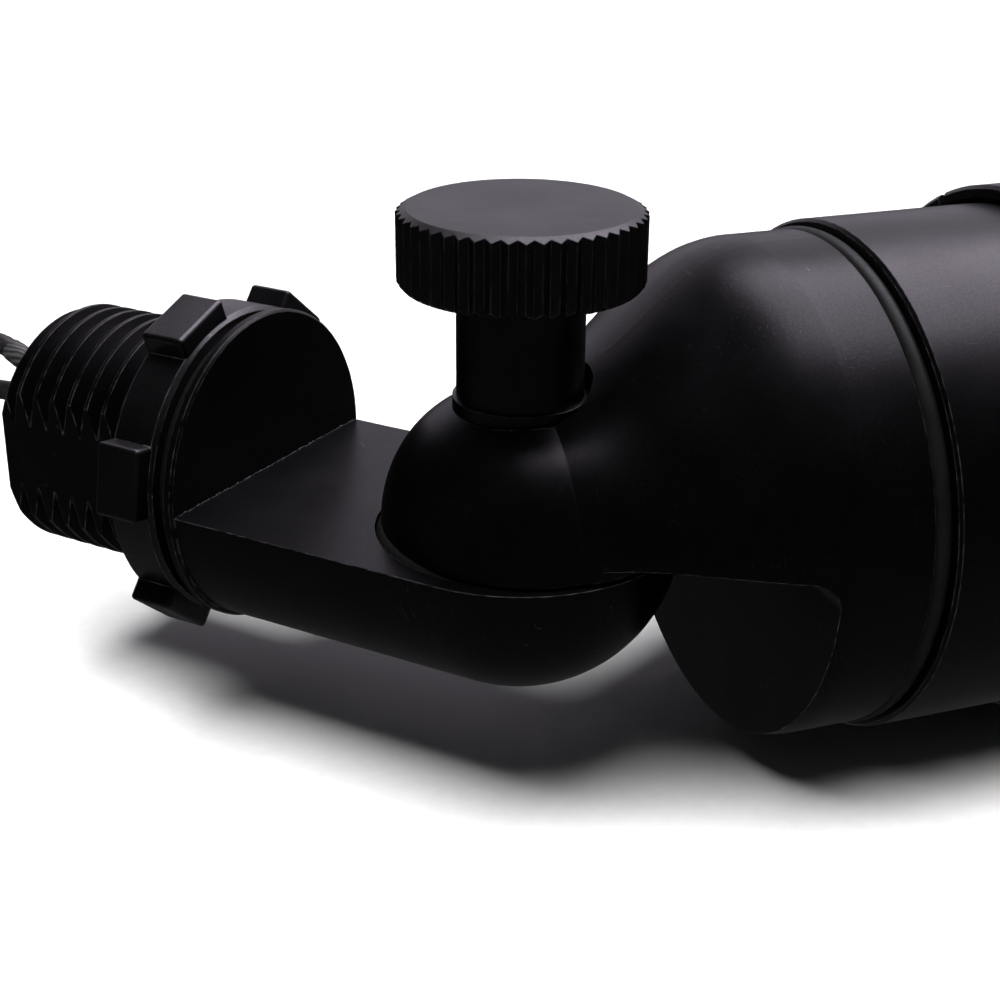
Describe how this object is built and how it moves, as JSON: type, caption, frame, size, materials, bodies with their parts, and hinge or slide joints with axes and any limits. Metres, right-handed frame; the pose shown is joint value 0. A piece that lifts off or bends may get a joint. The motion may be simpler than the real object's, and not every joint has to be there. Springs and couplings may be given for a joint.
{
  "type": "adjustable spotlight",
  "caption": "Small black bullet spotlight on a half-lap knuckle with a threaded stem, lock nut, thumbscrew, sliding hood and loose supply leads.",
  "frame": {"origin": "centre of the threaded stem's end face", "axes": "+X runs from the knuckle to the hood along the lamp body, +Z is the knuckle's hinge axis and points to the thumbscrew, +Y completes the right-handed set"},
  "size_m": [0.1753, 0.1047, 0.0466],
  "materials": {
    "black_cast": "satin black painted die-cast aluminium",
    "black_screw": "satin black plated brass",
    "zinc_washer": "blackened steel",
    "seal_rubber": "satin dark grey-green silicone",
    "potting": "smooth black potting compound",
    "lead_jacket": "satin black flexible insulation",
    "tinned_copper": "tinned copper strands",
    "tie": "matt black nylon",
    "lens_glass": "clear toughened glass",
    "lamp_metal": "satin die-cast aluminium",
    "optic": "clear moulded optic",
    "board": "white solder-resist board",
    "led_chip": "yellow phosphor",
    "lamp_plastic": "white heat-proof plastic",
    "steel_pin": "bright steel",
    "ceramic": "unglazed steatite"
  },
  "bodies": {
    "base": {"threaded_knuckle": "black_cast", "stem_potting": "potting", "stem_leads": "lead_jacket", "knuckle_seal": "seal_rubber", "lead_a": "lead_jacket", "lead_a_coil": "lead_jacket", "lead_b": "lead_jacket", "lead_b_coil": "lead_jacket", "lead_tips": "tinned_copper", "lead_ties": "tie"},
    "nut_gasket": {"nut_gasket": "seal_rubber"},
    "lock_nut": {"lock_nut": "black_cast"},
    "screw_washer": {"thumbscrew_washer": "zinc_washer"},
    "thumbscrew": {"thumbscrew": "black_screw"},
    "head": {"rear_cap": "black_cast", "lamp_housing": "lamp_metal", "lamp_optic": "optic", "lamp_led_board": "board", "lamp_leds": "led_chip", "lamp_base": "lamp_plastic", "lamp_pins": "steel_pin", "lamp_socket": "ceramic", "socket_contacts": "steel_pin", "socket_bracket": "steel_pin", "body_leads": "lead_jacket"},
    "cap_seal": {"cap_oring": "seal_rubber"},
    "barrel": {"barrel": "black_cast", "lens_gasket": "seal_rubber", "lamp_cushion": "seal_rubber", "lens": "lens_glass", "retaining_ring": "black_cast"},
    "hood_ring": {"hood_friction_ring": "seal_rubber"},
    "hood": {"hood": "black_cast"},
    "hood_screw": {"hood_set_screw": "steel_pin"}
  },
  "joints": [
    {"name": "knuckle_tilt", "type": "hinge", "parent": "base", "child": "head", "pos_m": [0.02908, -0.03381, 0], "axis": [0, 0, 1], "range_deg": [-139.3, 40.7]},
    {"name": "locknut_travel", "type": "slide", "parent": "base", "child": "nut_gasket", "axis": [-0.6521, 0.7581, 0], "range_m": [0, 0.0109]},
    {"name": "locknut_turn", "type": "hinge", "parent": "nut_gasket", "child": "lock_nut", "pos_m": [0.01102, -0.01281, 0], "axis": [-0.6521, 0.7581, 0], "range_deg": [0, 2160]},
    {"name": "thumbscrew_travel", "type": "slide", "parent": "base", "child": "screw_washer", "axis": [0, 0, 1], "range_m": [0, 0.0015]},
    {"name": "thumbscrew_turn", "type": "hinge", "parent": "screw_washer", "child": "thumbscrew", "pos_m": [0.02908, -0.03381, 0.015], "axis": [0, 0, 1], "range_deg": [0, 540.5]},
    {"name": "barrel_travel", "type": "slide", "parent": "head", "child": "cap_seal", "axis": [1, 0, 0], "range_m": [0, 0.0045]},
    {"name": "barrel_turn", "type": "hinge", "parent": "cap_seal", "child": "barrel", "pos_m": [0.07408, -0.03381, 0.0005], "axis": [1, 0, 0], "range_deg": [0, 1080]},
    {"name": "hood_slide", "type": "slide", "parent": "barrel", "child": "hood_ring", "axis": [1, 0, 0], "range_m": [-0.0145, 0.0155]},
    {"name": "hood_turn", "type": "hinge", "parent": "hood_ring", "child": "hood", "pos_m": [0.09908, -0.03381, 0.0005], "axis": [1, 0, 0], "continuous": true},
    {"name": "set_screw_turn", "type": "hinge", "parent": "hood", "child": "hood_screw", "pos_m": [0.08108, -0.01231, 0.0005], "axis": [0, 1, 0], "range_deg": [0, 720]}
  ],
  "couplings": [
    {"joint": "locknut_travel", "follows": "locknut_turn", "m_per_rad": 0.00028875},
    {"joint": "thumbscrew_turn", "follows": "thumbscrew_travel", "rad_per_m": 6283.2},
    {"joint": "barrel_travel", "follows": "barrel_turn", "m_per_rad": 0.00023873}
  ]
}
